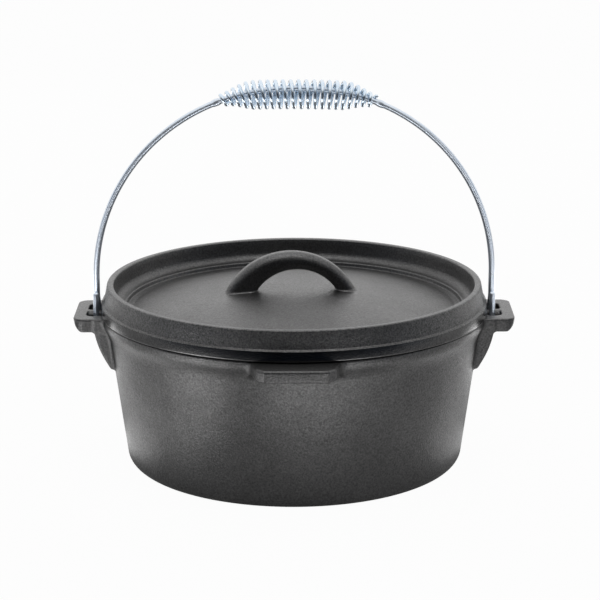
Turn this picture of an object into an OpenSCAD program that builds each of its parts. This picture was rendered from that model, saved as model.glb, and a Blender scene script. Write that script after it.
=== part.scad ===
// Camp dutch oven: a cast pot with two ears and a front tab, a flanged lid with
// an arched handle, and a wire bail that carries a barrel-shaped coil grip.
// Millimetres. Origin at the middle of the underside, +Z up, +X towards one ear,
// -Y towards the front tab.

/* [Pot] */
// Height of the rim plane that the lid sits on
pot_h = 122; // [100:1:150]
// Outer radius of the wall line where it meets the base plane
base_r = 134.8; // [120:0.2:150]
// Outward lean of the wall in degrees
wall_lean = 7.7; // [5:0.1:10]
// Thickness of the wall
wall_t = 5; // [4:0.1:6.5]
// Thickness of the floor
floor_t = 6; // [4:0.1:9]
// Radius of the outer corner between floor and wall
base_round = 9; // [6:0.5:14]
// Radius of the inner corner between floor and wall
inner_round = 7; // [4:0.5:12]
// Height of the thickened band below the rim
band_h = 11; // [8:0.5:16]
// How far the band stands out from the wall line
band_out = 2.7; // [1.5:0.1:4]
// Height of the sloping foot of the band
band_foot = 4.4; // [3:0.1:6]
// Bevel on the edges of the rim
rim_bevel = 0.8; // [0.3:0.1:1.5]

/* [Ears] */
// How far each ear reaches out from the rim
ear_reach = 22.4; // [20:0.2:30]
// Width of each ear along the rim
ear_w = 61.6; // [50:0.2:72]
// Thickness of the ear plate
ear_t = 10.8; // [10:0.1:14]
// Radius of the outer corners of the ear
ear_corner = 9; // [5:0.5:10]
// Draft of the outer end of the ear in degrees
ear_draft = 16; // [5:1:20]
// Size of the bevel along the lower outer edge of the ear
ear_bevel = 2.8; // [1:0.1:4]
// Width of the slot for the bail, across the rim
slot_w = 12.4; // [11.6:0.1:14]
// Length of the slot for the bail, along the rim
slot_l = 39; // [34:0.5:44]
// Diameter of the bar across the slot that the bail hangs on
bar_d = 9.4; // [7:0.1:10]
// How far each end of the bar runs into the casting
bar_root = 3.5; // [2:0.1:4]
// Thickness of the two cheeks below the ear
cheek_t = 6.5; // [4:0.1:8]
// How far the cheeks reach out from the rim at the ear plate
cheek_out = 5.2; // [3:0.1:9]
// How far the edge of the cheeks bulges out
cheek_bulge = 1.7; // [0:0.1:4]
// Depth of the cheeks below the ear plate
cheek_h = 30; // [22:0.5:40]
// How far the foot of the cheeks stands out from the wall
cheek_foot = 1.1; // [0.6:0.1:2]

/* [Front tab] */
// How far the tab reaches out from the rim
tab_reach = 20.8; // [12:0.2:26]
// Width of the tab where it leaves the rim
tab_w = 67; // [50:0.5:80]
// Width of the straight front edge of the tab
tab_front_w = 47; // [30:0.5:50]
// Thickness of the tab
tab_t = 9.3; // [6:0.1:12]
// Length of the bevelled corners, along the reach
tab_bevel = 6.5; // [3:0.1:9]
// Sideways shift of the tab
tab_off = 1.7; // [-4:0.1:4]
// Width of the tab behind its bevelled corners
tab_corner_w = 59.6; // [50:0.1:66]

/* [Lid] */
// Height of the lid rim above the pot rim
lid_h = 24; // [20:0.5:30]
// How far the foot of the lid wall stands out past the pot rim
lid_over = 1.4; // [0.6:0.1:2]
// How far the lid wall leans in on its way up
lid_lean = 5.4; // [3:0.1:7]
// Thickness of the lid rim at its top
lid_rim_w = 5; // [4:0.1:6.5]
// Height of the lower band of the lid wall
lid_band_h = 8.4; // [6:0.1:11]
// Width of the ledge above the lower band
lid_ledge = 0.6; // [0.3:0.05:1]
// Radius of the rounded edges of the lid rim
lid_edge = 1.3; // [0.8:0.1:2]
// Bevel at the foot of the lid wall
foot_bevel = 0.8; // [0.4:0.1:1.5]
// Shadow gap between the lid wall and the pot rim
lid_gap = 0.9; // [0.4:0.1:1.4]
// Depth of the gutter round the dome, below the lid rim
tray_d = 20.5; // [17:0.1:23]
// Distance from the foot of the lid wall in to the edge of the dome
gutter_in = 26; // [23:0.2:32]
// Width of the gutter between the dome and the step
gutter_w = 6; // [4:0.1:8]
// Height of the step round the gutter
step_h = 2; // [1:0.1:3]
// Radius of the cove between the step and the lid wall
cove_r = 9.2; // [7:0.1:11]
// Height of the bottom of the cove above the gutter
cove_h = 3.3; // [2.8:0.1:4]
// Distance of the cove's centre in from the lid rim's inner edge
cove_in = 11; // [10.4:0.1:12.5]
// Height of the dome above the gutter
dome_h = 14; // [9:0.2:18]
// Thickness of the dome
dome_t = 6; // [4.5:0.1:8]
// Depth of the locating lip below the pot rim
lip_d = 5; // [3:0.1:8]
// Width of the locating lip
lip_w = 9; // [6:0.2:12]
// Bevel on the lower edges of the lip
lip_bevel = 1.2; // [0.6:0.1:2]
// Clearance between the lip and the pot wall
lip_gap = 0.6; // [0.4:0.1:1.2]

/* [Lid handle] */
// Height of the handle above the top of the dome
handle_h = 31; // [26:0.5:38]
// Thickness of the handle at the top of its arch
handle_t = 14; // [11:0.1:15]
// Width of the handle
handle_w = 16.4; // [14:0.2:22]
// Radius of the outer arch
handle_r = 55.5; // [50:0.5:62]
// Radius of the opening under the arch
opening_r = 37.7; // [34:0.1:41]
// Sideways shift of the outer arch, which thickens one foot
handle_off = -3.3; // [-5:0.1:5]
// Sideways shift of the opening
opening_off = 3.4; // [-5:0.1:5]
// Radius of the rounded edges
handle_round = 6.4; // [3:0.1:6.8]
// Turn of the handle about the upright, in degrees
handle_turn = 5; // [0:1:30]

/* [Bail] */
// Diameter of the bail wire
wire_d = 4.8; // [4:0.1:5]
// Clearance between the lid wall and the bail
bail_gap = 0.9; // [0.6:0.1:1.5]
// Clearance between the eye and the bar
bar_gap = 0.3; // [0.25:0.05:0.5]
// Height of the straight legs above the pot rim
leg_h = 29; // [26:0.5:40]
// Distance of each shoulder's centre from the middle plane
shoulder_in = 8.7; // [5:0.1:20]
// Radius of the crown arc
crown_r = 198; // [190:1:260]
// Lean of the leg where it runs into the eye, in degrees
leg_lean = 25; // [22:1:28]
// Lean of the tail of the eye, in degrees
tail_lean = 8; // [6:0.5:9]
// Height of the tail above the bar's centre
tail_h = 18; // [14:0.5:19]
// Bend radius above the eye
bend_r = 9; // [7:0.5:10]
// Sideways shift of the crown, as the bail leans a little
sway = 2.4; // [-4:0.1:4]
// Sideways twist of the eye, in degrees
eye_twist = 4; // [0:0.5:5]

/* [Coil grip] */
// Distance between the ends of the coil, straight across
coil_l = 120; // [100:1:130]
// Number of turns
coil_turns = 22; // [16:1:24]
// Diameter of the coil wire
coil_wire = 3; // [2:0.1:3.2]
// Outside diameter in the middle of the coil
coil_d = 23.8; // [20:0.2:26]
// Clearance between the end turns and the bail
coil_gap = 0.35; // [0.3:0.05:0.5]
// How far the middle of the coil hangs below the bail
coil_hang = 4.6; // [0:0.1:5]
// Share of the half length over which the barrel swells
swell = 0.45; // [0.3:0.05:0.8]
// Closing up of the turns towards the ends
crowding = 0.1; // [0:0.01:0.2]
// Diameter of the stops in the bail beside the coil
stop_d = 6.8; // [6.4:0.1:8]
// Length of the stops along the bail
stop_l = 3.6; // [3:0.1:6]
// Sideways shift of the coil and its stops from the middle of the bail
grip_off = 1.5; // [-4:0.1:4]

/* [Hidden] */
$fn = 96;
iron = "#3d3d3f";
zinc = "#c9d0d8";
// Side of the blocks that trim the castings, and how far a cut runs past a face
cut = 200;
past = 1;
// Steps along the rounded stretches
corner_steps = 6;
edge_steps = 3;
cove_steps = 4;
eye_steps = 15;
bend_steps = 3;
shoulder_steps = 12;

// Pot
lean_tan = tan(wall_lean);
function wall_r(z) = base_r + z * lean_tan;
function mouth_r(z) = wall_r(z) - wall_t / cos(wall_lean);
rim_r = wall_r(pot_h) + band_out;
band_z = pot_h - band_h;
// Where the slope of the band's foot changes
band_break = [rim_r - band_out / 3, band_z + band_foot * 2 / 5];

// Ears
ear_x = rim_r + ear_reach;
ear_z = pot_h - ear_t;
ear_low_x = ear_x - ear_t * tan(ear_draft);
slot_x = rim_r + slot_w / 2;
pivot_z = pot_h - bar_d / 2;

// Lid
lid_r = rim_r + lid_over;
lid_top = pot_h + lid_h;
lid_foot = pot_h + lid_gap;
ledge_z = lid_foot + lid_band_h;
rim_top_r = lid_r - lid_lean;
gutter_r = lid_r - gutter_in;
gutter_z = lid_top - tray_d;
dome_top = gutter_z + dome_h;
dome_r = (gutter_r * gutter_r + dome_h * dome_h) / (2 * dome_h);
function dome_z(r) = dome_top - dome_r + sqrt(dome_r * dome_r - r * r);
lip_r = mouth_r(pot_h - lip_d) - lip_gap;
dome_steps = 10;
// Angles where the rounded edges of the rim and the cove begin and end
rim_out_a = 12;
rim_in_a = 170;
cove_top_a = -12;
cove_low_a = -48;

// Lid handle
handle_top = dome_top + handle_h;
handle_z = handle_top - handle_r;
opening_z = handle_top - handle_t - opening_r;
handle_base = dome_z(handle_r) - dome_t / 3;

// Bail
bail_x = lid_r + bail_gap + wire_d / 2;
spring_z = pot_h + leg_h;
shoulder_r = bail_x - shoulder_in;
crown_a = acos(shoulder_in / (crown_r - shoulder_r));
crown_z = spring_z - (crown_r - shoulder_r) * sin(crown_a);
crown_x = crown_r * cos(crown_a);
eye_r = (bar_d / 2 + bar_gap + wire_d / 2) / cos(eye_twist);

// Height and slope of the bail's centre line at a distance x from the middle
function bail_z(x) = abs(x) <= crown_x
    ? crown_z + sqrt(crown_r * crown_r - x * x)
    : spring_z + sqrt(pow(shoulder_r, 2) - pow(abs(x) - shoulder_in, 2));
function bail_tilt(x) = abs(x) <= crown_x
    ? asin(x / crown_r)
    : sign(x) * asin((abs(x) - shoulder_in) / shoulder_r);

// Coil grip
coil_sides = 6;
rings_per_turn = 8;
coil_end_r = wire_d / 2 + coil_gap + coil_wire / 2;
coil_mid_r = (coil_d - coil_wire) / 2;
coil_rings = coil_turns * rings_per_turn;
stop_x = coil_l / 2 + coil_wire + stop_l / 2;
bail_sides = 12;

// Points on an arc about c, from angle a to angle b
function arc(c, r, a, b, n) =
    [for (i = [0:n]) c + r * [cos(a + (b - a) * i / n), sin(a + (b - a) * i / n)]];

// Centre of a circle that touches the wall line and the level z on the wall's inner side
function corner(wall, z, r) = [wall + (z + r) * lean_tan - r / cos(wall_lean), z + r];

// Cross-section of the pot, right of the axis
function pot_profile() = concat(
    [[0, 0]],
    arc(corner(base_r, 0, base_round), base_round, -90, -wall_lean, corner_steps),
    [[wall_r(band_z), band_z],
     band_break,
     [rim_r, band_z + band_foot],
     [rim_r, pot_h - rim_bevel],
     [rim_r - rim_bevel, pot_h],
     [mouth_r(pot_h) + rim_bevel, pot_h],
     [mouth_r(pot_h - rim_bevel), pot_h - rim_bevel]],
    arc(corner(mouth_r(0), floor_t, inner_round), inner_round, -wall_lean, -90, corner_steps),
    [[0, floor_t]]);

// Ear plate seen from above, reaching in past the wall
module ear_outline() {
    inner = ear_x - ear_corner;
    side = ear_w / 2 - ear_corner;
    translate([base_r, -ear_w / 2]) square([inner - base_r, ear_w]);
    translate([base_r, -side]) square([ear_x - base_r, 2 * side]);
    for (s = [-1, 1]) translate([inner, s * side]) circle(ear_corner);
}

// Slot through the ear plate, with round ends
module slot_outline() {
    straight = slot_l - slot_w;
    translate([slot_x - slot_w / 2, -straight / 2]) square([slot_w, straight]);
    for (s = [-1, 1]) translate([slot_x, s * straight / 2]) circle(slot_w / 2);
}

// Cheek below the ear plate, seen from the side
module cheek_outline() {
    top_x = rim_r + cheek_out;
    low_z = ear_z - cheek_h;
    low_x = wall_r(low_z) + cheek_foot;
    bulge = [for (t = [0:0.2:1]) [
        top_x + (low_x - top_x) * t + cheek_bulge * sin(180 * t),
        ear_z + (low_z - ear_z) * t]];
    polygon(concat(
        [[base_r, ear_z + ear_t / 2], [top_x, ear_z + ear_t / 2]],
        bulge,
        [[wall_r(low_z) - wall_t, low_z - 2 * cheek_foot], [base_r, low_z - 2 * cheek_foot]]));
}

// One ear on the +X side, with its bar and cheeks
module ear() {
    difference() {
        translate([0, 0, ear_z]) linear_extrude(ear_t) ear_outline();
        translate([0, 0, ear_z - past]) linear_extrude(ear_t + 2 * past) slot_outline();
        translate([ear_x, 0, pot_h]) rotate([0, ear_draft, 0])
            translate([0, -cut / 2, -cut / 2]) cube(cut);
        translate([ear_low_x - ear_bevel, 0, ear_z]) rotate([0, 45, 0])
            translate([0, -cut / 2, -cut / 2]) cube(cut);
    }
    translate([rim_r - bar_root, 0, pivot_z]) rotate([0, 90, 0])
        cylinder(h = slot_w + 2 * bar_root, d = bar_d);
    for (y = [-ear_w / 2 + cheek_t, ear_w / 2])
        translate([0, y, 0]) rotate([90, 0, 0]) linear_extrude(cheek_t) cheek_outline();
}

// Tab seen from above, reaching in past the wall
module tab_outline() {
    front = rim_r + tab_reach;
    polygon([
        [-tab_w / 2, -base_r], [-tab_w / 2, -rim_r],
        [-tab_corner_w / 2, tab_bevel - front], [-tab_front_w / 2, -front],
        [tab_front_w / 2, -front], [tab_corner_w / 2, tab_bevel - front],
        [tab_w / 2, -rim_r], [tab_w / 2, -base_r]]);
}

// Everything inside the pot's inner surface, used to trim what is cast onto the wall
module pot_inside() {
    rotate_extrude() polygon([
        [0, floor_t],
        [mouth_r(floor_t) + wall_t / 2, floor_t],
        [mouth_r(pot_h + past) + wall_t / 2, pot_h + past],
        [0, pot_h + past]]);
}

module pot() {
    color(iron) {
        rotate_extrude() polygon(pot_profile());
        difference() {
            union() {
                ear();
                mirror([1, 0, 0]) ear();
                translate([tab_off, 0, pot_h - tab_t]) linear_extrude(tab_t) tab_outline();
            }
            pot_inside();
        }
    }
}

// Cross-section of the lid, right of the axis
function lid_profile() = let (
    wall_in = rim_top_r - lid_rim_w,
    band_top_r = lid_r - lid_lean * lid_band_h / lid_h / 2,
    step_r = gutter_r + gutter_w,
    under_r = lip_r - lip_w,
    under = [for (i = [0:dome_steps]) let (r = under_r * i / dome_steps) [r, dome_z(r) - dome_t]],
    over = [for (i = [0:dome_steps]) let (r = gutter_r * (1 - i / dome_steps)) [r, dome_z(r)]])
    concat(under,
        [[under_r + lip_bevel, pot_h - lip_d],
         [lip_r - lip_bevel, pot_h - lip_d],
         [lip_r, pot_h - lip_d + lip_bevel],
         [mouth_r(pot_h) - lip_gap, pot_h],
         [rim_r - 2 * rim_bevel, pot_h],
         [rim_r - 2 * rim_bevel, lid_foot],
         [lid_r - foot_bevel, lid_foot],
         [lid_r, lid_foot + foot_bevel],
         [band_top_r, ledge_z - lid_ledge / 2],
         [band_top_r - lid_ledge, ledge_z]],
        arc([rim_top_r - lid_edge, lid_top - lid_edge], lid_edge, rim_out_a, 90, edge_steps),
        arc([wall_in + lid_edge, lid_top - lid_edge], lid_edge, 90, rim_in_a, edge_steps),
        arc([wall_in - cove_in, gutter_z + cove_h + cove_r], cove_r, cove_top_a, cove_low_a, cove_steps),
        [[step_r + step_h, gutter_z + step_h],
         [step_r, gutter_z]],
        over);

// Arch of the handle: a disc with round edges, less a hole with round edges
module handle() {
    side = handle_w / 2 - handle_round;
    translate([handle_off, 0, handle_z]) rotate([90, 0, 0]) rotate_extrude() {
        translate([0, -handle_w / 2]) square([handle_r - handle_round, handle_w]);
        translate([0, -side]) square([handle_r, 2 * side]);
        for (s = [-1, 1]) translate([handle_r - handle_round, s * side]) circle(handle_round);
    }
}

module handle_opening() {
    side = handle_w / 2 - handle_round;
    translate([opening_off, 0, opening_z]) rotate([90, 0, 0]) rotate_extrude() difference() {
        translate([0, -handle_w / 2 - past]) square([opening_r + handle_round, handle_w + 2 * past]);
        translate([opening_r, -side]) square([2 * handle_round, 2 * side]);
        for (s = [-1, 1]) translate([opening_r + handle_round, s * side]) circle(handle_round);
    }
}

module lid() {
    color(iron) {
        rotate_extrude() polygon(lid_profile());
        rotate([0, 0, handle_turn]) difference() {
            handle();
            handle_opening();
            translate([-cut / 2, -cut / 2, handle_base - cut]) cube(cut);
        }
    }
}

// Centre line of the eye: a runs back along the ear and b runs up from the bar's centre
function eye_point(p) =
    [bail_x - p.x * sin(eye_twist), p.x * cos(eye_twist), pivot_z + p.y];
eye_kink = eye_r / sin(leg_lean);
eye_bend = [bend_r, eye_kink + bend_r * tan(leg_lean / 2)];
tail_foot = eye_r * [-cos(tail_lean), sin(tail_lean)];
tail_tip = tail_foot + (tail_h - tail_foot.y) * [tan(tail_lean), 1];
eye_path = concat(
    [tail_tip],
    arc([0, 0], eye_r, 180 - tail_lean, 360 + leg_lean, eye_steps),
    arc(eye_bend, bend_r, 180 + leg_lean, 180, bend_steps));

// Centre line of one half of the arch, with close points at the stop that is x from the middle
stop_half = stop_l / shoulder_r * 90 / PI;
function arch_path(x) = let (a = acos((x - shoulder_in) / shoulder_r)) concat(
    arc([shoulder_in, spring_z], shoulder_r, 0, a - 2 * stop_half, shoulder_steps),
    arc([shoulder_in, spring_z], shoulder_r, a - stop_half, a + stop_half, 2),
    arc([shoulder_in, spring_z], shoulder_r, a + 2 * stop_half, crown_a, 3),
    arc([0, crown_z], crown_r, (2 * crown_a + 90) / 3, 90, 2));

// The bail leans to one side, more towards its crown
bail_top = crown_z + crown_r;
function swayed(p) = [p.x + sway * max(0, p.z - spring_z) / (bail_top - spring_z), p.y, p.z];

// Half of the bail from the tip of its tail to the crown
function half_path(x) = concat(
    [for (p = eye_path) eye_point(p)],
    [for (p = arch_path(x)) [p.x, 0, p.y]]);
right_path = half_path(stop_x + grip_off);
left_path = half_path(stop_x - grip_off);
bail_path = concat(right_path,
    [for (i = [len(left_path) - 2:-1:0]) let (p = left_path[i]) [-p.x, p.y, p.z]]);
bail_radii = [for (p = bail_path)
    abs(abs(p.x - grip_off) - stop_x) < stop_l / 2 && p.z > spring_z ? stop_d / 2 : wire_d / 2];

module bail_wire() {
    color(zinc) tube([for (p = bail_path) swayed(p)], bail_radii, bail_sides);
}

// The coil's centre line winds round an axis that hangs below the bail
function ease(t) = t * t * (3 - 2 * t);
function coil_x(t) = coil_l / 2 * (t + crowding * sin(180 * t) / PI);
function coil_turn_r(t) =
    coil_end_r + (coil_mid_r - coil_end_r) * ease(min(1, (1 - abs(t)) / swell));
function coil_point(t) = let (
    x = grip_off + coil_x(t),
    tilt = bail_tilt(x),
    turn = 180 * coil_turns * t,
    low = coil_hang * pow(1 - t * t, 2),
    out = coil_turn_r(t) * cos(turn) - low)
    swayed([x + out * sin(tilt), -coil_turn_r(t) * sin(turn), bail_z(x) + out * cos(tilt)]);

function unit(v) = v / norm(v);
coil_turns_path = [for (i = [0:coil_rings]) coil_point(2 * i / coil_rings - 1)];
coil_start = coil_turns_path[0];
coil_end = coil_turns_path[coil_rings];
coil_end_step = 0.2 / coil_rings;
coil_lead_in = unit(coil_point(-1) - coil_point(-1 + coil_end_step));
coil_lead_out = unit(coil_point(1) - coil_point(1 - coil_end_step));
coil_path = concat(
    [coil_start + coil_wire * coil_lead_in],
    coil_turns_path,
    [coil_end + coil_wire * coil_lead_out]);

// Headings along a path, and a side direction carried along it without twisting
function heading(path, i) =
    unit(path[min(i + 1, len(path) - 1)] - path[max(i - 1, 0)]);
function squared(u, d) = unit(u - (u * d) * d);
function sides_along(path) = [for (
    i = 0, u = squared([1, 0, 0], heading(path, 0));
    i < len(path);
    i = i + 1, u = squared(u, heading(path, min(i, len(path) - 1)))) u];

// Closed tube along a path, all in triangles, with a radius at each point
module tube(path, radii, sides) {
    last = len(path) - 1;
    u = sides_along(path);
    points = [for (i = [0:last], k = [0:sides - 1]) let (v = cross(heading(path, i), u[i]))
        path[i] + radii[i] * (u[i] * cos(360 * k / sides) + v * sin(360 * k / sides))];
    skin = [for (i = [0:last - 1], k = [0:sides - 1]) let (
        a = i * sides + k,
        b = i * sides + (k + 1) % sides)
        each [[a, a + sides, b], [b, a + sides, b + sides]]];
    near = [for (k = [1:sides - 2]) [0, k, k + 1]];
    far = [for (k = [1:sides - 2]) [last * sides, last * sides + k + 1, last * sides + k]];
    polyhedron(points, concat(skin, near, far));
}

module coil_grip() {
    color(zinc) tube(coil_path, [for (p = coil_path) coil_wire / 2], coil_sides);
}

// Least gap between turns, and least gap from the coil to the bail, on points of the centre lines
apart = rings_per_turn - 3;
self_gap = min([for (i = [0:len(coil_path) - 1])
    for (j = [i + apart:1:min(i + 2 * rings_per_turn, len(coil_path) - 1)])
    norm(coil_path[i] - coil_path[j])]) - coil_wire;
bail_points = [for (x = [-stop_x:1:stop_x]) swayed([x + grip_off, 0, bail_z(x + grip_off)])];
bail_room = min([for (p = coil_path) for (q = bail_points) norm(p - q)]) - (coil_wire + wire_d) / 2;
echo(coil_self_gap = self_gap, coil_bail_gap = bail_room, bail_x = bail_x, rim_r = rim_r,
    bail_top = bail_top, pivot_z = pivot_z, dome_top = dome_top, handle_top = handle_top);

pot();
lid();
bail_wire();
coil_grip();
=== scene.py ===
import math

import bpy
import numpy as np
from mathutils import Matrix, Vector


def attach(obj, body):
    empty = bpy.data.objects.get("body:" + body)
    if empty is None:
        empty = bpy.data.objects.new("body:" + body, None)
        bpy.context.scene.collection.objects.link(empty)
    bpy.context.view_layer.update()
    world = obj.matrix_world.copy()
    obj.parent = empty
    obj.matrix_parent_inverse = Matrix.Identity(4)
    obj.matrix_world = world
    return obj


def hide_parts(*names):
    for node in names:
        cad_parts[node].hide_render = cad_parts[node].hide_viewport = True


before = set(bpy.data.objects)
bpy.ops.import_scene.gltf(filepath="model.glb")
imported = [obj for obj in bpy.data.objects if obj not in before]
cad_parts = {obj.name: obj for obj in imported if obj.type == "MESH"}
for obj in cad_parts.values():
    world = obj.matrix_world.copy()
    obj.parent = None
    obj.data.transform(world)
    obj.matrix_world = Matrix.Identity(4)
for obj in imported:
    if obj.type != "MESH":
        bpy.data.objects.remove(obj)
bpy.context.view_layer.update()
scene = bpy.context.scene

# Sizes of the object are in millimetres, from the centre of the pot's underside. They are those of
# the solids, apart from what is refined here: the foot of the pot's band, the lid's ledge, gutter
# and handle, the stops of the bail, and the rounding of edges and roots.
MM = 0.001

# Pot
POT_H = 122.0
BASE_R = 134.8
LEAN_DEG = 7.7
LEAN = math.radians(LEAN_DEG)
TAN = math.tan(LEAN)
WALL_T = 5.0
FLOOR_T = 6.0
BASE_ROUND = 9.0
INNER_ROUND = 7.0
RIM_ROUND = 1.3

# Band under the rim of the pot, which swells out of the wall below and above its lower edge
BAND_H = 11.0
BAND_OUT = 2.7
SWELL_BELOW = 3.0
SWELL_ABOVE = 5.4
SWELL_FOOT_ROUND = 40.0
SWELL_TOP_ROUND = 26.0
RIM_R = BASE_R + POT_H * TAN + BAND_OUT
MOUTH_R = BASE_R + POT_H * TAN - WALL_T / math.cos(LEAN)

# Ears, each with a slot, a bar across the slot and two cheeks underneath
EAR_REACH = 22.4
EAR_X = RIM_R + EAR_REACH
EAR_W = 61.6
EAR_T = 10.8
EAR_Z = POT_H - EAR_T
EAR_CORNER = 9.0
EAR_DRAFT = math.radians(16)
EAR_BEVEL = 2.8
SLOT_W = 12.4
SLOT_L = 39.0
BAR_D = 9.4
BAR_INTO_EAR = 3.5
PIVOT_Z = POT_H - BAR_D / 2
CHEEK_T = 6.5
CHEEK_OUT = 5.2
CHEEK_BULGE = 1.7
CHEEK_H = 30.0
CHEEK_FOOT = 1.1
CHEEK_BELOW = 1.0

# Widths of the blends on the ears: edges first, then inner corners
EAR_SIDE_EDGE = 1.0
EAR_UNDER_EDGE = 1.2
EAR_BEVEL_EDGE = 1.4
EAR_TOP_EDGE = 1.1
SLOT_EDGE = 1.4
BAR_END_EDGE = 1.0
CHEEK_EDGE = 1.6
CHEEK_FOOT_EDGE = 2.0
EAR_ROOT = 3.0
BAR_ROOT = 2.0
CHEEK_ROOT = 2.4

# Front tab, which sits a little beside the middle
TAB_REACH = 20.8
TAB_FRONT = RIM_R + TAB_REACH
TAB_W = 67.0
TAB_FRONT_W = 47.0
TAB_CORNER_W = 59.6
TAB_T = 9.3
TAB_BEVEL = 6.5
TAB_OFF = 1.7
TAB_SIDE_EDGE = 1.0
TAB_UNDER_EDGE = 1.2
TAB_TOP_EDGE = 2.2
TAB_ROOT = 6.0

# Lid: foot, lower band, ledge, leaning wall and rim
LID_OVER = 1.4
LID_R = RIM_R + LID_OVER
LID_H = 24.0
LID_TOP = POT_H + LID_H
LID_GAP = 0.9
LID_FOOT = POT_H + LID_GAP
LID_FOOT_ROUND = 1.0
LID_DRAFT = 5.4
LID_BAND_H = 8.4
BAND_TOP_R = LID_R - LID_DRAFT * LID_BAND_H / LID_H / 2  # the band leans half as much as the wall
LEDGE_Z = LID_FOOT + LID_BAND_H
LEDGE_W = 1.8
LEDGE_BELOW = 0.3
LEDGE_ABOVE = 0.7
LEDGE_EDGE_ROUND = 0.7
LEDGE_ROOT_ROUND = 0.4
RIM_TOP_R = LID_R - LID_DRAFT
LID_RIM_W = 5.0
RIM_IN_R = RIM_TOP_R - LID_RIM_W
LID_RIM_ROUND = 1.5
INNER_WALL_H = 10.0
INNER_WALL_DRAFT = 2.1

# Underside of the lid: the lip inside the pot's mouth and the seat on the pot's rim
LIP_H = 5.0
LIP_Z = POT_H - LIP_H
LIP_GAP = 0.6
LIP_R = MOUTH_R - LIP_H * TAN - LIP_GAP
LIP_W = 9.0
UNDER_R = LIP_R - LIP_W
LIP_DRAFT = 1.2
LIP_ROOT_ROUND = 2.0
LIP_INNER_ROUND = 0.8
LIP_OUTER_ROUND = 1.0
SEAT_IN = 1.6
SEAT_R = RIM_R - SEAT_IN
SEAT_ROUND = 0.3

# Top of the lid: a cove inside the wall, a ridge, a step down into the gutter and a domed disc
GUTTER_IN = 26.0
GUTTER_R = LID_R - GUTTER_IN
TRAY_D = 20.5
GUTTER_Z = LID_TOP - TRAY_D
GUTTER_W = 6.0
STEP_R = GUTTER_R + GUTTER_W
STEP_H = 3.4
STEP_Z = GUTTER_Z + STEP_H
STEP_FOOT_IN = 0.95
STEP_FOOT_ROUND = 0.9
COVE_R = 7.0
COVE_IN = 8.0
COVE_TOP_DEG = -10
CREST_R = 1.2
CREST_OUT = 0.7
CREST_END_DEG = 168
DOME_H = 14.0
DOME_T = 6.0
DOME_TOP = GUTTER_Z + DOME_H
DOME_R = (GUTTER_R ** 2 + DOME_H ** 2) / (2 * DOME_H)
DOME_FOOT_ROUND = 4.0
DOME_FOOT_R = GUTTER_R - 6.0
DOME_EDGE_R = GUTTER_R - 7.0
DOME_SLOPE = 0.98  # about the cosine of the slope at the dome's edge

# Lid handle: a rounded slab between an outer circle and the circle of its opening
HANDLE_H = 31.0
HANDLE_TOP = DOME_TOP + HANDLE_H
HANDLE_T = 14.8
HANDLE_W = 16.4
HANDLE_R = 58.0
HANDLE_OFF = -2.7
OPENING_R = 38.0
OPENING_OFF = 1.9
HANDLE_TURN = math.radians(4)
HANDLE_ROUND = 6.8
HANDLE_TIP_EDGE = 1.5
HANDLE_ROOT = 2.0

# Bail: legs, shoulders and a flatter crown
WIRE_D = 4.8
BAIL_GAP = 0.9
BAIL_X = LID_R + BAIL_GAP + WIRE_D / 2
LEG_H = 29.0
SPRING_Z = POT_H + LEG_H
SHOULDER_IN = 8.7
SHOULDER_R = BAIL_X - SHOULDER_IN
CROWN_R = 198.0
CROWN_A = math.acos(SHOULDER_IN / (CROWN_R - SHOULDER_R))
CROWN_Z = SPRING_Z - (CROWN_R - SHOULDER_R) * math.sin(CROWN_A)
CROWN_X = CROWN_R * math.cos(CROWN_A)
BAIL_TOP = CROWN_Z + CROWN_R
SWAY = 2.4

# Eyes of the bail round the bars
EYE_PLAY = 0.3
EYE_TWIST = math.radians(4)
LEG_LEAN_DEG = 25.0
TAIL_LEAN_DEG = 8.0
TAIL_H = 18.0
BEND_R = 9.0

# Coil grip
COIL_L = 120.0
COIL_TURNS = 22
COIL_WIRE = 3.0
COIL_D = 23.8
COIL_PLAY = 0.35
COIL_END_R = WIRE_D / 2 + COIL_PLAY + COIL_WIRE / 2
COIL_MID_R = (COIL_D - COIL_WIRE) / 2
COIL_HANG = 4.6
COIL_SWELL = 0.45  # share of each half over which the barrel swells
COIL_CROWDING = 0.1  # how much closer the turns are towards the ends
GRIP_OFF = 1.5

# Swaged stops of the bail on each side of the coil
STOP_L = 3.6
STOP_X = COIL_L / 2 + COIL_WIRE + STOP_L / 2
STOP_THINNER = 0.2
STOP_WIDER = 0.22

# Fineness of the meshes
AROUND = 480  # points round a turned casting
LONGEST = 8.0  # longest stretch of a profile
DOME_POINTS = 36
UNDER_POINTS = 24
NET_STEP = 0.8  # grid of the forms that are cast on
NET_ROOM = 1.0  # room round such a form
WIRE_SIDES = 20
COIL_SIDES = 14
COIL_TURN_POINTS = 36

# How a form that is cast on meets the casting under it
SINK = 0.04  # its skin runs out this far inside the casting
TOP_SINK = 0.03  # its top lies this much deeper under the pot's rim
POT_BITE = 2.5  # it reaches this far into the pot's wall
LID_BITE = 3.0  # it reaches this far into the lid's dome


def wall_r(z):
    """Radius of the pot's outer wall without its band."""
    return BASE_R + z * TAN


def dome_z(r):
    """Height of the lid's domed disc."""
    return DOME_TOP - DOME_R + np.sqrt(np.maximum(DOME_R ** 2 - r * r, 0))


# Profiles
def arc(cx, cz, r, start, end, steps):
    """Points of an arc between two angles in degrees."""
    angles = np.radians(np.linspace(start, end, steps + 1))
    return [(cx + r * math.cos(a), cz + r * math.sin(a)) for a in angles]


def line(p, q, steps):
    """Points from p to q."""
    return [tuple(a + (b - a) * t for a, b in zip(p, q)) for t in np.linspace(0, 1, steps + 1)]


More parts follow.
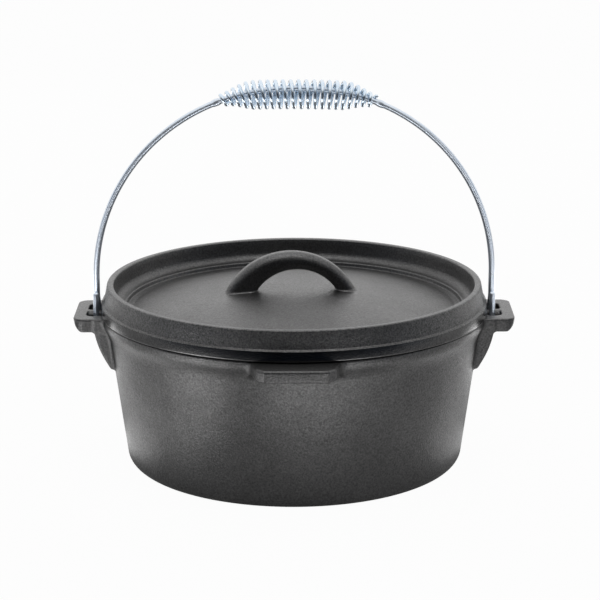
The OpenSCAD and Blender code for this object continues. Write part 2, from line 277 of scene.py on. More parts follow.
def fillet(corners, steps=6):
    """Profile through corners of (r, z, rounding); a rounding of 0 keeps the corner."""
    longest_share, nearly_straight = 0.48, 0.01
    out = []
    for i, (r, z, rounding) in enumerate(corners):
        if rounding == 0 or i in (0, len(corners) - 1):
            out.append((r, z))
            continue
        p = np.array((r, z), float)
        a = np.array(corners[i - 1][:2], float) - p
        b = np.array(corners[i + 1][:2], float) - p
        la, lb = np.linalg.norm(a), np.linalg.norm(b)
        a, b = a / la, b / lb
        half = math.acos(max(-1, min(1, a @ b))) / 2
        if half > math.pi / 2 - nearly_straight:
            out.append((r, z))
            continue
        d = min(rounding / math.tan(half), longest_share * la, longest_share * lb)
        for t in np.linspace(0, 1, steps + 1):
            out.append(tuple(p + a * d * (1 - t) ** 2 + b * d * t ** 2))
    return out


def densify(points):
    """Adds points on long stretches of a profile."""
    out = [points[0]]
    for p, q in zip(points, points[1:]):
        out += line(p, q, max(1, int(math.ceil(math.dist(p, q) / LONGEST))))[1:]
    return out


# Meshes
def lathe(profile):
    """Closed mesh of a profile turned about Z; the profile starts and ends on the axis."""
    on_axis = 1e-6
    turns = [2 * math.pi * k / AROUND for k in range(AROUND)]
    verts, rings = [], []
    for r, z in profile:
        if r < on_axis:
            rings.append([len(verts)])
            verts.append((0, 0, z))
        else:
            rings.append(list(range(len(verts), len(verts) + AROUND)))
            verts += [(r * math.cos(a), r * math.sin(a), z) for a in turns]
    faces = []
    for a, b in zip(rings, rings[1:]):
        for k in range(AROUND):
            m = (k + 1) % AROUND
            if len(a) == 1:
                faces.append((a[0], b[m], b[k]))
            elif len(b) == 1:
                faces.append((a[k], a[m], b[0]))
            else:
                faces.append((a[k], a[m], b[m], b[k]))
    return np.array(verts, float), faces


def smin(a, b, k):
    """Union of two distances with an inner corner blended over the width k."""
    h = np.maximum(k - np.abs(a - b), 0) / k
    return np.minimum(a, b) - h * h * k / 4


def smax(a, b, k):
    """Common part of two distances with an edge blended over the width k."""
    return -smin(-a, -b, k)


def rounded(a, b, radius):
    """Common part of two distances with a round edge of this radius."""
    a = a + radius
    b = b + radius
    return np.minimum(np.maximum(a, b), 0) + np.hypot(np.maximum(a, 0), np.maximum(b, 0)) - radius


def gradient(f, p):
    """Slope of f at each point."""
    reach = 0.02
    g = np.empty_like(p)
    for m in range(3):
        d = np.zeros(3)
        d[m] = reach
        g[:, m] = (f(*(p + d).T) - f(*(p - d).T)) / (2 * reach)
    return g


def net_points(v, inside, grid):
    """For each cell that the surface crosses, the mean of the crossings on its edges."""
    shape = tuple(n - 1 for n in v.shape)
    total, count = np.zeros(shape + (3,)), np.zeros(shape)
    corners = [(i, j, k) for i in (0, 1) for j in (0, 1) for k in (0, 1)]
    for a in corners:
        for ax in range(3):
            if a[ax]:
                continue
            b = tuple(a[m] + (m == ax) for m in range(3))
            sa = tuple(slice(a[m], a[m] + shape[m]) for m in range(3))
            sb = tuple(slice(b[m], b[m] + shape[m]) for m in range(3))
            cross = inside[sa] != inside[sb]
            t = np.where(cross, v[sa] / np.where(cross, v[sa] - v[sb], 1), 0)
            for m in range(3):
                along = t * NET_STEP if m == ax else 0
                total[..., m] += np.where(cross, grid[m][sa] + along, 0)
            count += cross
    used = count > 0
    index = np.full(shape, -1)
    index[used] = np.arange(used.sum())
    return total[used] / count[used][:, None], index


def net_faces(inside, index):
    """One face for each edge of the grid that the surface crosses."""
    faces = []
    for ax in range(3):
        u, w = (ax + 1) % 3, (ax + 2) % 3
        near = [slice(1, -1)] * 3
        near[ax] = slice(0, -1)
        far = list(near)
        far[ax] = slice(1, None)
        first = inside[tuple(near)]
        ids = np.argwhere(first != inside[tuple(far)])
        outward = first[tuple(ids.T)]
        base = ids + np.array([0 if m == ax else 1 for m in range(3)])
        cells = []
        for du, dw in ((1, 1), (0, 1), (0, 0), (1, 0)):
            cell = base.copy()
            cell[:, u] -= du
            cell[:, w] -= dw
            cells.append(index[tuple(cell.T)])
        quads = np.stack(cells, 1)
        quads[~outward] = quads[~outward][:, ::-1]
        faces += quads.tolist()
    return faces


def surface_net(f, low, high):
    """Closed mesh of the points in a box where f is below zero, moved onto f = 0."""
    passes, flattest, farthest = 4, 0.25, 0.4 * NET_STEP
    axes = [np.arange(a - NET_STEP, b + 2 * NET_STEP, NET_STEP) for a, b in zip(low, high)]
    grid = np.meshgrid(*axes, indexing="ij")
    v = f(*grid)
    for ax in range(3):
        for end in (0, -1):
            side = [slice(None)] * 3
            side[ax] = end
            v[tuple(side)] = np.maximum(v[tuple(side)], 0.5 * NET_STEP)
    inside = v < 0
    verts, index = net_points(v, inside, grid)
    for _ in range(passes):
        g = gradient(f, verts)
        move = f(*verts.T) / np.maximum((g * g).sum(1), flattest)
        verts -= np.clip(move, -farthest, farthest)[:, None] * g
    return verts, net_faces(inside, index)


def mesh_object(name, verts, faces):
    """Smooth-shaded object from points in millimetres."""
    me = bpy.data.meshes.new(name)
    me.from_pydata((np.asarray(verts) * MM).tolist(), [], [tuple(q) for q in faces])
    me.update()
    ob = bpy.data.objects.new(name, me)
    scene.collection.objects.link(ob)
    me.polygons.foreach_set("use_smooth", [True] * len(me.polygons))
    return ob


def join_solids(base, others):
    """Union of closed meshes, applied to the first."""
    for o in others:
        mod = base.modifiers.new("join", "BOOLEAN")
        mod.operation = "UNION"
        mod.solver = "MANIFOLD"
        mod.object = o
    deps = bpy.context.evaluated_depsgraph_get()
    me = bpy.data.meshes.new_from_object(base.evaluated_get(deps))
    base.modifiers.clear()
    old = base.data
    base.data = me
    me.name = old.name
    bpy.data.meshes.remove(old)
    for o in others:
        data = o.data
        bpy.data.objects.remove(o)
        bpy.data.meshes.remove(data)
    me.polygons.foreach_set("use_smooth", [True] * len(me.polygons))


def round_ends(path, radius, steps=5):
    """Path with half-round ends added, and the radius at each of its points."""
    tip_angle = 8
    path = np.asarray(path, float)
    first = path[1] - path[0]
    last = path[-1] - path[-2]
    first, last = first / np.linalg.norm(first), last / np.linalg.norm(last)
    angles = np.radians(np.linspace(tip_angle, 90, steps))
    start = [path[0] - first * radius * math.cos(a) for a in angles]
    end = [path[-1] + last * radius * math.cos(a) for a in angles[::-1]]
    tip = [radius * math.sin(a) for a in angles]
    radii = tip + [radius] * (len(path) - 2) + tip[::-1]
    return np.concatenate([start, path[1:-1], end]), radii


def tube(name, path, sizes, sides):
    """Closed round bar along a path; sizes gives each point's two half widths."""
    path = np.asarray(path, float)
    head = np.gradient(path, axis=0)
    head /= np.linalg.norm(head, axis=1)[:, None]
    angles = 2 * math.pi * np.arange(sides) / sides
    u = np.array([0.0, 1.0, 0.0])
    rings = []
    for p, d, (a, b) in zip(path, head, sizes):
        u = u - (u @ d) * d
        u /= np.linalg.norm(u)
        w = np.cross(d, u)
        rings.append(p + a * np.cos(angles)[:, None] * u + b * np.sin(angles)[:, None] * w)
    n = len(rings)
    faces = []
    for i in range(n - 1):
        for k in range(sides):
            m = (k + 1) % sides
            faces.append((i * sides + k, i * sides + m, (i + 1) * sides + m, (i + 1) * sides + k))
    faces.append(tuple(reversed(range(sides))))
    faces.append(tuple(range((n - 1) * sides, n * sides)))
    return mesh_object(name, np.concatenate(rings), faces)


# Pot
def pot_outer():
    """Outline of the pot from its underside to its rim."""
    base_r = wall_r(BASE_ROUND) - BASE_ROUND / math.cos(LEAN)
    base = arc(base_r, BASE_ROUND, BASE_ROUND, -90, -LEAN_DEG, steps=14)
    band_z = POT_H - BAND_H
    low_z = band_z - SWELL_BELOW
    side = fillet([
        (*base[-1], 0),
        (wall_r(low_z), low_z, SWELL_FOOT_ROUND),
        (RIM_R, band_z + SWELL_ABOVE, SWELL_TOP_ROUND),
        (RIM_R, POT_H, RIM_ROUND),
        (MOUTH_R, POT_H, 0)])
    return base[:-1] + side[:-1]


OUTER = pot_outer()
RIM_EDGE_Z = POT_H - 1.2  # the wall's outline is read below this height, under the rounded rim
OUT_R, OUT_Z = zip(*[p for p in OUTER if p[1] < RIM_EDGE_Z])


def pot_profile():
    """Outline of the pot from the middle of its underside round to the middle of its floor."""
    inner_z = FLOOR_T + INNER_ROUND
    inner_r = wall_r(inner_z) - (WALL_T + INNER_ROUND) / math.cos(LEAN)
    inside = arc(inner_r, inner_z, INNER_ROUND, -LEAN_DEG, -90, steps=10)
    rim = fillet([(*OUTER[-1], 0), (MOUTH_R, POT_H, RIM_ROUND), (*inside[0], 0)])
    return densify([(0, 0)] + OUTER + rim[1:-1] + inside + [(0, FLOOR_T)])


def wall(x, y, z):
    """Distance from the pot's outer wall."""
    return (np.hypot(x, y) - np.interp(z, OUT_Z, OUT_R)) * math.cos(LEAN)


def cheek_shape(x, y, z):
    """Distance from a cheek under an ear, where x and y are positive."""
    low_z = EAR_Z - CHEEK_H
    top_x = RIM_R + CHEEK_OUT
    foot_x = wall_r(low_z) + CHEEK_FOOT
    t = np.clip((EAR_Z - z) / CHEEK_H, 0, 1)
    edge = top_x + (foot_x - top_x) * t + CHEEK_BULGE * np.sin(math.pi * t)
    side = np.abs(y - (EAR_W - CHEEK_T) / 2) - CHEEK_T / 2
    return smax(smax(x - edge, side, CHEEK_EDGE), low_z - CHEEK_BELOW - z, CHEEK_FOOT_EDGE)


def ear_shape(x, y, z):
    """Distance from the ears, which are the same on both sides and both ends."""
    x, y = np.abs(x), np.abs(y)
    plan = rounded(np.abs(x - (EAR_X + BASE_R) / 2) - (EAR_X - BASE_R) / 2, y - EAR_W / 2, EAR_CORNER)
    end = (x - EAR_X) * math.cos(EAR_DRAFT) - (z - POT_H) * math.sin(EAR_DRAFT)
    low_x = EAR_X - EAR_T * math.tan(EAR_DRAFT) - EAR_BEVEL
    bevel = ((x - low_x) - (z - EAR_Z)) * math.sqrt(0.5)
    ear = smax(smax(plan, end, EAR_SIDE_EDGE), EAR_Z - z, EAR_UNDER_EDGE)
    ear = smax(ear, bevel, EAR_BEVEL_EDGE)
    from_slot = x - RIM_R - SLOT_W / 2
    slot = np.hypot(from_slot, np.maximum(y - (SLOT_L - SLOT_W) / 2, 0)) - SLOT_W / 2
    ear = smax(ear, -slot, SLOT_EDGE)
    bar = np.hypot(y, z - PIVOT_Z) - BAR_D / 2
    bar = smax(bar, np.abs(from_slot) - SLOT_W / 2 - BAR_INTO_EAR, BAR_END_EDGE)
    ear = smin(ear, bar, BAR_ROOT)
    return smin(ear, cheek_shape(x, y, z), CHEEK_ROOT)


TAB_HALF = [(TAB_W / 2, -BASE_R), (TAB_W / 2, -RIM_R),
            (TAB_CORNER_W / 2, TAB_BEVEL - TAB_FRONT), (TAB_FRONT_W / 2, -TAB_FRONT)]
TAB_PLAN = [(-x, y) for x, y in TAB_HALF] + TAB_HALF[::-1]


def tab_shape(x, y, z):
    """Distance from the front tab: the common part of its sides and its underside."""
    x = x - TAB_OFF
    sides = []
    for (ax, ay), (bx, by) in zip(TAB_PLAN, TAB_PLAN[1:]):
        ex, ey = bx - ax, by - ay
        sides.append(((x - ax) * ey - (y - ay) * ex) / math.hypot(ex, ey))
    tab = sides[0]
    for side in sides[1:]:
        tab = smax(tab, side, TAB_SIDE_EDGE)
    return smax(tab, POT_H - TAB_T - z, TAB_UNDER_EDGE)


def cast_on(shape, root, edge):
    """What a shape adds to the pot's wall, with a soft inner corner and a level top."""
    def added(x, y, z):
        out = wall(x, y, z)
        d = smax(smin(out, shape(x, y, z), root), z - POT_H + TOP_SINK, edge)
        return np.maximum(d + SINK, -out - POT_BITE)
    return added


# Boxes in which the forms that are cast on are meshed
NET_TOP = POT_H + NET_ROOM
BELOW_CAST_ON = 8.0
EAR_BOX_IN = 132.0
EAR_BOX_END = EAR_X + NET_ROOM
EAR_BOX_Y = 38.0
EAR_BOX_LOW = EAR_Z - CHEEK_H - BELOW_CAST_ON
TAB_BOX_X = 42.0
TAB_BOX_IN = -140.0
TAB_BOX_LOW = POT_H - TAB_T - BELOW_CAST_ON

pot = mesh_object("pot_casting", *lathe(pot_profile()))
pot_adds = []
for name, shape, root, edge, low, high in (
        ("ear_right", ear_shape, EAR_ROOT, EAR_TOP_EDGE,
         (EAR_BOX_IN, -EAR_BOX_Y, EAR_BOX_LOW), (EAR_BOX_END, EAR_BOX_Y, NET_TOP)),
        ("ear_left", ear_shape, EAR_ROOT, EAR_TOP_EDGE,
         (-EAR_BOX_END, -EAR_BOX_Y, EAR_BOX_LOW), (-EAR_BOX_IN, EAR_BOX_Y, NET_TOP)),
        ("tab", tab_shape, TAB_ROOT, TAB_TOP_EDGE,
         (-TAB_BOX_X, -TAB_FRONT - NET_ROOM, TAB_BOX_LOW), (TAB_BOX_X, TAB_BOX_IN, NET_TOP))):
    pot_adds.append(mesh_object(name, *surface_net(cast_on(shape, root, edge), low, high)))
join_solids(pot, pot_adds)


# Lid
def lid_outside(under):
    """Outline of the lid from the end of its underside to the inside of its rim."""
    return fillet([
        (*under[-2], 0),
        (*under[-1], LIP_ROOT_ROUND),
        (UNDER_R + LIP_DRAFT, LIP_Z, LIP_INNER_ROUND),
        (LIP_R, LIP_Z, LIP_OUTER_ROUND),
        (MOUTH_R - LIP_GAP, POT_H, SEAT_ROUND),
        (SEAT_R, POT_H, 0),
        (SEAT_R, LID_FOOT, SEAT_ROUND),
        (LID_R, LID_FOOT, LID_FOOT_ROUND),
        (BAND_TOP_R, LEDGE_Z - LEDGE_BELOW, LEDGE_EDGE_ROUND),
        (BAND_TOP_R - LEDGE_W, LEDGE_Z + LEDGE_ABOVE, LEDGE_ROOT_ROUND),
        (RIM_TOP_R, LID_TOP, LID_RIM_ROUND),
        (RIM_IN_R, LID_TOP, LID_RIM_ROUND),
        (RIM_IN_R - INNER_WALL_DRAFT, LID_TOP - INNER_WALL_H, 0)])


def lid_tray():
    """Outline of the cove, the ridge, the gutter and the dome."""
    cove = arc(RIM_IN_R - COVE_IN, STEP_Z + COVE_R, COVE_R, COVE_TOP_DEG, -90, steps=16)
    crest = arc(STEP_R + CREST_OUT, STEP_Z - CREST_R, CREST_R, 90, CREST_END_DEG, steps=10)
    gutter = fillet([
        (*crest[-1], 0),
        (STEP_R - STEP_FOOT_IN, GUTTER_Z, STEP_FOOT_ROUND),
        (GUTTER_R, GUTTER_Z, DOME_FOOT_ROUND),
        (DOME_FOOT_R, float(dome_z(DOME_FOOT_R)), 0)])
    dome = [(r, float(dome_z(r))) for r in np.linspace(DOME_EDGE_R, 0, DOME_POINTS)]
    return cove + crest + gutter[1:-1] + dome


def lid_profile():
    """Outline of the lid from the middle of its underside round to the top of its dome."""
    under = [(r, float(dome_z(r)) - DOME_T) for r in np.linspace(0, UNDER_R, UNDER_POINTS)]
    return densify(under[:-1] + lid_outside(under)[1:-1] + lid_tray())


def handle_shape(x, y, z):
    """Distance from the handle."""
    c, s = math.cos(HANDLE_TURN), math.sin(HANDLE_TURN)
    along, across = x * c + y * s, y * c - x * s
    out = np.hypot(along - HANDLE_OFF, z - HANDLE_TOP + HANDLE_R) - HANDLE_R
    opening = OPENING_R - np.hypot(along - OPENING_OFF, z - HANDLE_TOP + HANDLE_T + OPENING_R)
    return rounded(smax(out, opening, HANDLE_TIP_EDGE), np.abs(across) - HANDLE_W / 2, HANDLE_ROUND)


def handle_on(x, y, z):
    """What the handle adds to the dome, with a soft root."""
    above = (z - dome_z(np.hypot(x, y))) * DOME_SLOPE
    return np.maximum(smin(above, handle_shape(x, y, z), HANDLE_ROOT) + SINK, -above - LID_BITE)


HANDLE_BOX_LOW = (-63, -32, DOME_TOP - 10)
HANDLE_BOX_HIGH = (63, 32, HANDLE_TOP + NET_ROOM)

lid = mesh_object("lid_casting", *lathe(lid_profile()))
handle = mesh_object("handle", *surface_net(handle_on, HANDLE_BOX_LOW, HANDLE_BOX_HIGH))
join_solids(lid, [handle])


# Bail wire
def bail_z(x):
    """Height of the bail's arch."""
    x = abs(x)
    if x <= CROWN_X:
        return CROWN_Z + math.sqrt(CROWN_R ** 2 - x * x)
    return SPRING_Z + math.sqrt(SHOULDER_R ** 2 - (x - SHOULDER_IN) ** 2)


def bail_tilt(x):
    """Slope of the bail's arch, as an angle."""
    if abs(x) <= CROWN_X:
        return math.asin(x / CROWN_R)
    return math.copysign(math.asin((abs(x) - SHOULDER_IN) / SHOULDER_R), x)


def swayed(p):
    """The bail leans a little to one side, more towards its crown."""
    return (p[0] + SWAY * max(0, p[2] - SPRING_Z) / (BAIL_TOP - SPRING_Z), p[1], p[2])


def smooth(k):
    """Eases a share between 0 and 1."""
    return k * k * (3 - 2 * k)


def eye_line():
    """Tail, eye and bend of the leg, seen along the bar, from the tip of the tail up."""
    eye_r = (BAR_D / 2 + EYE_PLAY + WIRE_D / 2) / math.cos(EYE_TWIST)
    lean = math.radians(LEG_LEAN_DEG)
    tail = math.radians(TAIL_LEAN_DEG)
    foot = (-eye_r * math.cos(tail), eye_r * math.sin(tail))
    tip = (foot[0] + (TAIL_H - foot[1]) * math.tan(tail), TAIL_H)
    bend_z = eye_r / math.sin(lean) + BEND_R * math.tan(lean / 2)
    eye = line(tip, foot, steps=6)[:-1]
    eye += arc(0, 0, eye_r, 180 - TAIL_LEAN_DEG, 360 + LEG_LEAN_DEG, steps=36)
    return eye + arc(BEND_R, bend_z, BEND_R, 180 + LEG_LEAN_DEG, 180, steps=8)


def half_bail(stop_x):
    """Right half of the bail from the tip of its tail to its crown, with finer steps at the stop."""
    before_stop_deg, after_stop_deg = 4, 3
    c, s = math.cos(EYE_TWIST), math.sin(EYE_TWIST)
    half = [(BAIL_X - a * s, a * c, PIVOT_Z + b) for a, b in eye_line()]
    half += line(half[-1], (BAIL_X, 0, SPRING_Z), steps=7)[1:]
    stop = math.degrees(math.acos((stop_x - SHOULDER_IN) / SHOULDER_R))
    fine_from, fine_to = stop - before_stop_deg, stop + after_stop_deg
    crown = math.degrees(CROWN_A)
    shoulder = (SHOULDER_IN, SPRING_Z, SHOULDER_R)
    arch = arc(*shoulder, 0, fine_from, steps=40)[1:]
    arch += arc(*shoulder, fine_from, fine_to, steps=24)[1:]
    arch += arc(*shoulder, fine_to, crown, steps=8)[1:]
    arch += arc(0, CROWN_Z, CROWN_R, crown, 90, steps=12)[1:]
    return half + [(x, 0, z) for x, z in arch]


def stop_share(p):
    """1 at the middle of a stop, 0 away from it."""
    if p[2] <= SPRING_Z:
        return 0.0
    return smooth(max(0.0, 1 - (abs(abs(p[0] - GRIP_OFF) - STOP_X) / STOP_L) ** 2))


right_half = half_bail(STOP_X + GRIP_OFF)
left_half = half_bail(STOP_X - GRIP_OFF)
bail_line = right_half + [(-x, y, z) for x, y, z in reversed(left_half[:-1])]
bail_path, bail_radii = round_ends(bail_line, WIRE_D / 2)
bail_sizes = []
for p, r in zip(bail_path, bail_radii):
    share = stop_share(p)
    bail_sizes.append((r * (1 - STOP_THINNER * share), r * (1 + STOP_WIDER * share)))
bail = tube("bail_bar", [swayed(p) for p in bail_path], bail_sizes, WIRE_SIDES)


# Coil grip
def coil_point(t):
    """Middle of the coil's wire, for t from -1 at its left end to 1 at its right end."""
    x = GRIP_OFF + COIL_L / 2 * (t + COIL_CROWDING * math.sin(math.pi * t) / math.pi)
    r = COIL_END_R + (COIL_MID_R - COIL_END_R) * smooth(min(1.0, (1 - abs(t)) / COIL_SWELL))
    turn = math.pi * COIL_TURNS * t
    tilt = bail_tilt(x)
    out = r * math.cos(turn) - COIL_HANG * (1 - t * t) ** 2
    return swayed((x + out * math.sin(tilt), -r * math.sin(turn), bail_z(x) + out * math.cos(tilt)))


coil_line = [coil_point(t) for t in np.linspace(-1, 1, COIL_TURNS * COIL_TURN_POINTS + 1)]
coil_path, coil_radii = round_ends(coil_line, COIL_WIRE / 2)
coil = tube("coil_spring", coil_path, [(r, r) for r in coil_radii], COIL_SIDES)


# Materials
def nodes_of(name):
    """New material with its node tree and its shader."""
    mat = bpy.data.materials.new(name)
    mat.use_nodes = True
    tree = mat.node_tree
    return mat, tree, tree.nodes["Principled BSDF"]


def add(tree, kind, **values):
    """New node; each value goes to the socket of that name, or else to the node's own setting."""
    node = tree.nodes.new(kind)
    for key, value in values.items():
        if key in node.inputs:
            node.inputs[key].default_value = value
        else:
            setattr(node, key, value)
    return node


def ramp(tree, source, stops):
    """Colour ramp on a source; a stop is a place and a grey or a colour."""
    node = tree.nodes.new("ShaderNodeValToRGB")
    els = node.color_ramp.elements
    while len(els) < len(stops):
        els.new(0.5)
    for e, (pos, c) in zip(els, stops):
        e.position = pos
        e.color = (*c, 1) if isinstance(c, tuple) else (c, c, c, 1)
    tree.links.new(source, node.inputs["Fac"])
    return node.outputs["Color"]


def noise(tree, **values):
    """Noise fixed to the piece."""
    node = add(tree, "ShaderNodeTexNoise", **values)
    coord = add(tree, "ShaderNodeTexCoord").outputs["Object"]
    tree.links.new(coord, node.inputs["Vector"])
    return node.outputs["Fac"]


def cast_iron(name, rough, relief, contrast, scale):
    """Seasoned iron; rough gives the roughness of pits and of peaks, relief the depth of the grain."""
    mat, tree, bsdf = nodes_of(name)
    link = tree.links.new
    grain = noise(tree, Scale=scale, Detail=3.0, Roughness=0.6)
    fine = noise(tree, Scale=1500.0, Detail=2.0, Roughness=0.6)
    cloud = noise(tree, Scale=22.0, Detail=4.0, Roughness=0.6)
    waves = noise(tree, Scale=70.0, Detail=2.0, Roughness=0.5)
    tint = ramp(tree, cloud, [(0.3, (0.098, 0.097, 0.097)), (0.72, (0.125, 0.124, 0.124))])
    speck = ramp(tree, grain, [(0.25, 1 - contrast), (0.5, 1.0), (0.75, 1 + contrast)])
    mix = add(tree, "ShaderNodeMix", data_type="RGBA", blend_type="MULTIPLY")
    mix.inputs["Factor"].default_value = 1
    link(tint, mix.inputs["A"])
    link(speck, mix.inputs["B"])
    link(mix.outputs["Result"], bsdf.inputs["Base Color"])
    link(ramp(tree, grain, [(0.25, rough[0]), (0.75, rough[1])]), bsdf.inputs["Roughness"])
    bsdf.inputs["Metallic"].default_value = 1.0
    fine_share = 0.4
    total = add(tree, "ShaderNodeMath", operation="MULTIPLY_ADD")
    total.inputs[1].default_value = fine_share
    link(fine, total.inputs[0])
    link(grain, total.inputs[2])
    bump = add(tree, "ShaderNodeBump", Strength=0.8 * relief, Distance=0.0004)
    link(total.outputs[0], bump.inputs["Height"])
    wide = add(tree, "ShaderNodeBump", Strength=0.4 * relief, Distance=0.0012)
    link(waves, wide.inputs["Height"])
    link(wide.outputs["Normal"], bump.inputs["Normal"])
    link(bump.outputs["Normal"], bsdf.inputs["Normal"])
    return mat


def zinc(name, tints, rough):
    """Zinc plating; tints and rough each give the two ends of its clouds."""
    mat, tree, bsdf = nodes_of(name)
    link = tree.links.new
    cloud = noise(tree, Scale=140.0, Detail=3.0)
    fine = noise(tree, Scale=900.0, Detail=2.0)
    link(ramp(tree, cloud, [(0.3, tints[0]), (0.7, tints[1])]), bsdf.inputs["Base Color"])
    link(ramp(tree, cloud, [(0.3, rough[0]), (0.7, rough[1])]), bsdf.inputs["Roughness"])
    bsdf.inputs["Metallic"].default_value = 0.88
    bump = add(tree, "ShaderNodeBump", Strength=0.02, Distance=0.0001)
    link(fine, bump.inputs["Height"])
    link(bump.outputs["Normal"], bsdf.inputs["Normal"])
    return mat


iron_mat = cast_iron("seasoned_cast_iron", rough=(0.46, 0.36), relief=0.9, contrast=0.4, scale=680)
coarse_mat = cast_iron("coarse_cast_iron", rough=(0.46, 0.34), relief=1.2, contrast=0.65, scale=780)
band_mat = cast_iron("smooth_cast_iron", rough=(0.24, 0.18), relief=0.25, contrast=0.4, scale=680)
zinc_mat = zinc("zinc_plated_wire", tints=((0.72, 0.8, 0.9), (0.8, 0.86, 0.94)), rough=(0.32, 0.27))
coil_mat = zinc("zinc_plated_coil", tints=((0.72, 0.84, 0.96), (0.84, 0.92, 1.0)), rough=(0.2, 0.15))
for piece, mat, body, node, slot in (
        (pot, iron_mat, "pot", "pot", "cast_iron"),
        (lid, iron_mat, "lid", "lid", "cast_iron"),
        (bail, zinc_mat, "bail", "bail_wire", "zinc_wire"),
        (coil, coil_mat, "bail", "coil_grip", "zinc_wire")):
    piece.data.materials.clear()
    piece.data.materials.append(mat)
    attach(piece, body)
    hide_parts(node)

# The lower band of the lid is smoother than its disc, and the wall above the ledge is coarser
BAND_LOW_Z, BAND_HIGH_Z = LID_FOOT + 0.5, LEDGE_Z - 0.6
BAND_IN_R, COARSE_IN_R = LID_R - 4, RIM_TOP_R - 1
lid.data.materials.append(band_mat)
lid.data.materials.append(coarse_mat)
for face in lid.data.polygons:
    height, reach = face.center.z / MM, math.hypot(face.center.x, face.center.y) / MM
    if BAND_LOW_Z < height < BAND_HIGH_Z and reach > BAND_IN_R:
        face.material_index = 1
    elif height > BAND_HIGH_Z and reach > COARSE_IN_R:
        face.material_index = 2


# Studio, with places and sizes in metres apart from the meshes
def white_for_view(tree, plain, out, share, glossy_share):
    """Mixes a plain shader with white for rays from the camera, and part of it for reflections."""
    link = tree.links.new
    path = add(tree, "ShaderNodeLightPath")
    kind = "ShaderNodeEmission" if out.type == "OUTPUT_MATERIAL" else "ShaderNodeBackground"
    white = add(tree, kind, Color=(1, 1, 1, 1), Strength=1.0)
    shine = add(tree, "ShaderNodeMath", operation="MAXIMUM")
    link(path.outputs["Is Glossy Ray"], shine.inputs[0])
    link(path.outputs["Is Transmission Ray"], shine.inputs[1])
    part = add(tree, "ShaderNodeMath", operation="MULTIPLY")
    part.inputs[1].default_value = glossy_share
    link(shine.outputs[0], part.inputs[0])
    seen = add(tree, "ShaderNodeMath", operation="MULTIPLY_ADD")
    seen.inputs[1].default_value = share
    link(path.outputs["Is Camera Ray"], seen.inputs[0])
    link(part.outputs[0], seen.inputs[2])
    mix = add(tree, "ShaderNodeMixShader")
    link(seen.outputs[0], mix.inputs["Fac"])
    link(plain.outputs[0], mix.inputs[1])
    link(white.outputs[0], mix.inputs[2])
    link(mix.outputs[0], out.inputs["Surface"])


def bare_material(name):
    """Material with no shader yet."""
    mat, tree, bsdf = nodes_of(name)
    tree.nodes.remove(bsdf)
    return mat, tree, tree.nodes["Material Output"]


def sheet(name, low, high, z):
    """Level rectangle between two corners, in millimetres."""
    (x0, y0), (x1, y1) = low, high
    return name, [(x0, y0, z), (x1, y0, z), (x1, y1, z), (x0, y1, z)], [(0, 1, 2, 3)]


world = bpy.data.worlds.new("studio")
scene.world = world
world.use_nodes = True
sky = world.node_tree
back = sky.nodes["Background"]
back.inputs["Color"].default_value = (1, 1, 1, 1)
back.inputs["Strength"].default_value = 0.6
white_for_view(sky, back, sky.nodes["World Output"], share=1.0, glossy_share=1.0)

FLOOR_HALF = 4000
FLOOR_DROP = 0.0002
floor = mesh_object(*sheet("floor", (-FLOOR_HALF, -FLOOR_HALF), (FLOOR_HALF, FLOOR_HALF), 0))
floor.location.z = -FLOOR_DROP
floor_mat, floor_tree, floor_out = bare_material("white_floor")
matt = add(floor_tree, "ShaderNodeBsdfDiffuse", Color=(0.62, 0.62, 0.62, 1))
white_for_view(floor_tree, matt, floor_out, share=0.97, glossy_share=0.11)
floor.data.materials.append(floor_mat)

# Dark cards in front of the object, which show in its reflections
CARD_R = 2300
CARD_TOP = 2300
CARD_FOOT = 2
CARD_START_DEG = -178
CARD_END_DEG = -2
CARD_STEPS = 44
CARD_FLOOR_Z = 1
CARD_FLOOR_NEAR = -640


def card(name, verts, faces, stops):
    """A studio card that the camera doesn't see, brighter to the sides and towards its top."""
    ob = mesh_object(name, verts, faces)
    mat, tree, out = bare_material(name)
    link = tree.links.new
    split = add(tree, "ShaderNodeSeparateXYZ")
    link(add(tree, "ShaderNodeTexCoord").outputs["Object"], split.inputs[0])
    side = add(tree, "ShaderNodeMath", operation="ABSOLUTE")
    link(split.outputs["X"], side.inputs[0])
    share = add(tree, "ShaderNodeMath", operation="DIVIDE")
    share.inputs[1].default_value = CARD_R * MM
    link(side.outputs[0], share.inputs[0])
    rise = add(tree, "ShaderNodeMath", operation="DIVIDE")
    rise.inputs[1].default_value = CARD_TOP * MM
    link(split.outputs["Z"], rise.inputs[0])
    both = add(tree, "ShaderNodeMix", data_type="RGBA", blend_type="LIGHTEN")
    both.inputs["Factor"].default_value = 1
    link(ramp(tree, share.outputs[0], stops), both.inputs["A"])
    link(ramp(tree, rise.outputs[0], [(0.45, 0.0), (1.0, 0.7)]), both.inputs["B"])
    glow = add(tree, "ShaderNodeEmission", Strength=1.0)
    link(both.outputs["Result"], glow.inputs["Color"])
    link(glow.outputs[0], out.inputs["Surface"])
    ob.data.materials.append(mat)
    ob.visible_camera = False
    ob.visible_shadow = False


card_rim = arc(0, 0, CARD_R, CARD_START_DEG, CARD_END_DEG, CARD_STEPS)
card_verts = [(x, y, z) for z in (CARD_FOOT, CARD_TOP) for x, y in card_rim]
card_faces = [(k, k + 1, k + CARD_STEPS + 2, k + CARD_STEPS + 1) for k in range(CARD_STEPS)]
card("dark_card", card_verts, card_faces,
     [(0.5, (0.0, 0.002, 0.006)), (0.85, (0.05, 0.065, 0.095)), (1.0, (0.27, 0.3, 0.34))])
card(*sheet("dark_floor", (-CARD_R, -CARD_R), (CARD_R, CARD_FLOOR_NEAR), CARD_FLOOR_Z),
     [(0.0, (0.012, 0.018, 0.03)), (1.0, (0.065, 0.08, 0.11))])


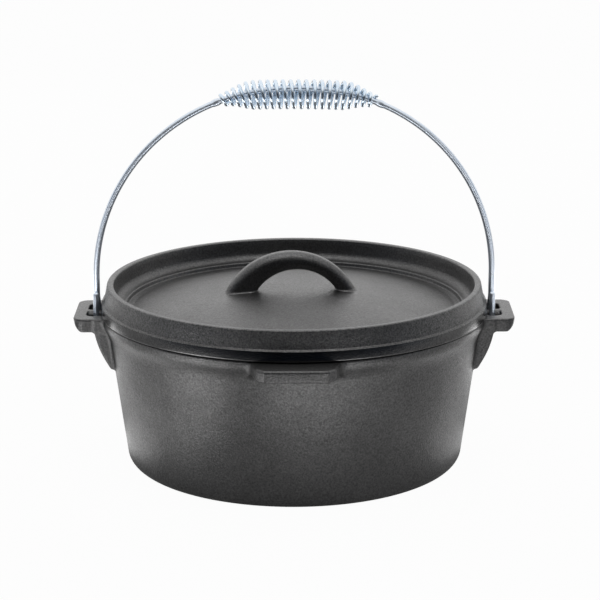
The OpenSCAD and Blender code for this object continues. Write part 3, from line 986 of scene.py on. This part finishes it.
def lamp(name, place, target, size, radiance):
    """Area lamp of a given radiance that the camera doesn't see."""
    data = bpy.data.lights.new(name, "AREA")
    data.shape = "RECTANGLE"
    data.size, data.size_y = size
    data.energy = radiance * math.pi * size[0] * size[1]
    ob = bpy.data.objects.new(name, data)
    ob.location = place
    ob.rotation_euler = (Vector(target) - Vector(place)).to_track_quat("-Z", "Y").to_euler()
    ob.visible_camera = False
    scene.collection.objects.link(ob)
    return ob


FLOOR_LAMP_Z = 0.003


def floor_lamp(name, x, y, size, radiance):
    """Lamp that lies just above the floor and shines up."""
    return lamp(name, (x, y, FLOOR_LAMP_Z), (x, y, 1), size, radiance)


middle = (0, 0, 0.12)
soft_boxes = [lamp("top", (0, -0.35, 1.6), middle, (0.7, 0.7), 2.0),
              lamp("top_back", (0, 0.9, 1.3), middle, (1.6, 0.8), 0.4),
              lamp("back", (0, 1.7, 0.7), middle, (2.8, 1.0), 0.38)]

# The wires mirror the white surroundings, not the soft boxes
wires = bpy.data.collections.new("wires")
for piece in (bail, coil):
    wires.objects.link(piece)
for entry in wires.collection_objects:
    entry.light_linking.link_state = "EXCLUDE"
for box in soft_boxes:
    box.light_linking.receiver_collection = wires

# Lamps that stand in for reflectors on the floor
for name, x, y, size, radiance in (
        ("floor_left", -0.35, -0.3, (0.24, 0.24), 4.6),
        ("floor_left_near", -0.2, -0.17, (0.13, 0.13), 0.8),
        ("floor_front", 0.1, -0.37, (0.36, 0.2), 2.2),
        ("floor_right_near", 0.2, -0.17, (0.13, 0.13), 0.3),
        ("floor_edge_left", -0.172, -0.02, (0.055, 0.12), 1.3),
        ("floor_edge_right", 0.172, -0.02, (0.055, 0.12), 0.8),
        ("floor_side_left", -0.27, 0.05, (0.14, 0.2), 0.8),
        ("floor_side_right", 0.27, 0.05, (0.14, 0.2), 0.6),
        ("floor_back_left", -0.4, 0.36, (0.36, 0.36), 2.6),
        ("floor_back_right", 0.4, 0.36, (0.36, 0.36), 3.2)):
    floor_lamp(name, x, y, size, radiance)

# Panels that only the bail mirrors
bail_only = bpy.data.collections.new("bail_only")
bail_only.objects.link(bail)
for panel in (
        floor_lamp("wire_left", -0.72, -0.42, (0.5, 0.5), 1.0),
        floor_lamp("wire_right", 0.72, -0.42, (0.5, 0.5), 1.2),
        lamp("tail_left", (-0.95, -1.2, 0.15), middle, (1.2, 0.2), 1.3),
        lamp("tail_right", (0.95, -1.2, 0.15), middle, (1.2, 0.2), 1.3),
        lamp("arch_right", (1.15, -1.15, 0.6), middle, (0.9, 0.8), 0.8)):
    panel.light_linking.receiver_collection = bail_only

# Camera, fitted to the circles of the lid and the pot
CAM_PLACE = (0.00472, -1.71577, 0.58666)
CAM_TILT = math.radians(75.085)
CAM_ROLL = math.radians(-0.116)
cam_data = bpy.data.cameras.new("camera")
cam_data.sensor_width = 36
cam_data.lens = 132.13
cam = bpy.data.objects.new("camera", cam_data)
cam.location = CAM_PLACE
cam.rotation_euler = (Matrix.Rotation(CAM_TILT, 3, "X") @ Matrix.Rotation(CAM_ROLL, 3, "Z")).to_euler()
scene.collection.objects.link(cam)
scene.camera = cam
scene.view_settings.view_transform = "Standard"

bpy.context.view_layer.update()
